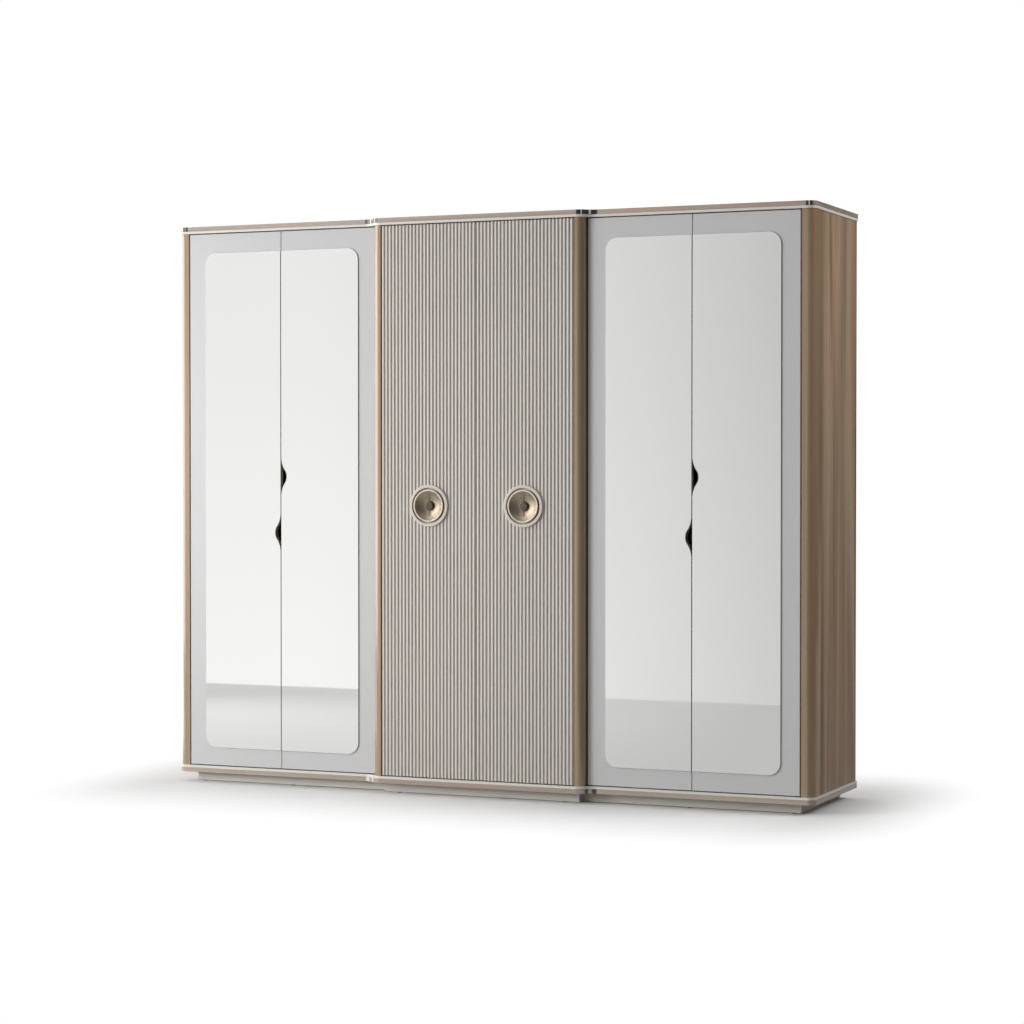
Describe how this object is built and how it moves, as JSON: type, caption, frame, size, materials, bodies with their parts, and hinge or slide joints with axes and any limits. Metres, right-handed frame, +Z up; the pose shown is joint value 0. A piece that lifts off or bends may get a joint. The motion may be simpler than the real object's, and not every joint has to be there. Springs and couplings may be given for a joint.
{
  "type": "armoire",
  "caption": "Wide wardrobe in three joined units: mirrored hinged doors with bell-shaped finger pulls at the sides, a proud reeded centre pair with round dish handles, recessed plinth.",
  "frame": {"origin": "centre of the bounding box on the floor, under the glides", "axes": "+Z up, +X to the right of a person facing the doors, doors face -Y, back at +Y"},
  "size_m": [2.71, 0.613, 2.27],
  "materials": {
    "edge_wood": "satin veneer edge, warm grey-brown",
    "pale_lacquer": "cream satin lacquer",
    "plinth_lacquer": "greige satin lacquer",
    "felt_black": "black glide pads",
    "wood_veneer": "walnut-toned veneer, vertical grain, satin",
    "interior_board": "light textured board",
    "back_board": "thin backing board",
    "door_lacquer": "cool grey lacquer, smooth satin",
    "mirror_glass": "silvered mirror",
    "reeded_lacquer": "warm greige satin lacquer",
    "dark_bronze": "dark bronze, satin",
    "satin_bronze": "satin bronze-nickel",
    "fitting_steel": "nickel-plated steel",
    "rail_chrome": "polished chrome"
  },
  "bodies": {
    "carcass": {"base_board": "edge_wood", "cornice_board": "edge_wood", "base_trim": "pale_lacquer", "cornice_trim": "pale_lacquer", "plinth_front": "plinth_lacquer", "plinth_end_left": "plinth_lacquer", "plinth_end_right": "plinth_lacquer", "plinth_back": "plinth_lacquer", "glides": "felt_black", "corner_post_left": "wood_veneer", "centre_post_left": "wood_veneer", "side_panel_left": "wood_veneer", "centre_side_left": "interior_board", "inner_side_left": "interior_board", "corner_post_right": "wood_veneer", "centre_post_right": "wood_veneer", "side_panel_right": "wood_veneer", "centre_side_right": "interior_board", "inner_side_right": "interior_board", "back_panels": "back_board", "hat_shelf_left": "interior_board", "hat_shelf_centre": "interior_board", "hat_shelf_right": "interior_board", "low_shelf_left": "interior_board", "low_shelf_right": "interior_board", "centre_shelf_1": "interior_board", "centre_shelf_2": "interior_board", "centre_shelf_3": "interior_board", "shelf_pins": "fitting_steel", "hanging_rail_left": "rail_chrome", "hanging_rail_right": "rail_chrome", "rail_sockets": "rail_chrome", "unit_bolts": "fitting_steel", "hinge_arms": "fitting_steel"},
    "door_left_outer": {"leaf_left_outer": "door_lacquer", "mirror_left_outer": "mirror_glass", "pull_left_outer": "dark_bronze", "cups_left_outer": "fitting_steel"},
    "door_left_inner": {"leaf_left_inner": "door_lacquer", "mirror_left_inner": "mirror_glass", "pull_left_inner": "dark_bronze", "cups_left_inner": "fitting_steel"},
    "door_right_inner": {"leaf_right_inner": "door_lacquer", "mirror_right_inner": "mirror_glass", "pull_right_inner": "dark_bronze", "cups_right_inner": "fitting_steel"},
    "door_right_outer": {"leaf_right_outer": "door_lacquer", "mirror_right_outer": "mirror_glass", "pull_right_outer": "dark_bronze", "cups_right_outer": "fitting_steel"},
    "door_centre_left": {"leaf_centre_left": "reeded_lacquer", "ring_centre_left": "pale_lacquer", "dish_centre_left": "satin_bronze", "knob_centre_left": "satin_bronze", "cups_centre_left": "fitting_steel"},
    "door_centre_right": {"leaf_centre_right": "reeded_lacquer", "ring_centre_right": "pale_lacquer", "dish_centre_right": "satin_bronze", "knob_centre_right": "satin_bronze", "cups_centre_right": "fitting_steel"}
  },
  "joints": [
    {"name": "hinge_left_outer", "type": "hinge", "parent": "carcass", "child": "door_left_outer", "pos_m": [-1.295, -0.2605, 1.135], "axis": [0, 0, -1], "range_deg": [0, 110]},
    {"name": "hinge_left_inner", "type": "hinge", "parent": "carcass", "child": "door_left_inner", "pos_m": [-0.456, -0.2605, 1.135], "axis": [0, 0, 1], "range_deg": [0, 90]},
    {"name": "hinge_right_inner", "type": "hinge", "parent": "carcass", "child": "door_right_inner", "pos_m": [0.456, -0.2605, 1.135], "axis": [0, 0, -1], "range_deg": [0, 90]},
    {"name": "hinge_right_outer", "type": "hinge", "parent": "carcass", "child": "door_right_outer", "pos_m": [1.295, -0.2605, 1.135], "axis": [0, 0, 1], "range_deg": [0, 110]},
    {"name": "hinge_centre_left", "type": "hinge", "parent": "carcass", "child": "door_centre_left", "pos_m": [-0.405, -0.2945, 1.135], "axis": [0, 0, -1], "range_deg": [0, 90]},
    {"name": "hinge_centre_right", "type": "hinge", "parent": "carcass", "child": "door_centre_right", "pos_m": [0.405, -0.2945, 1.135], "axis": [0, 0, 1], "range_deg": [0, 90]}
  ]
}
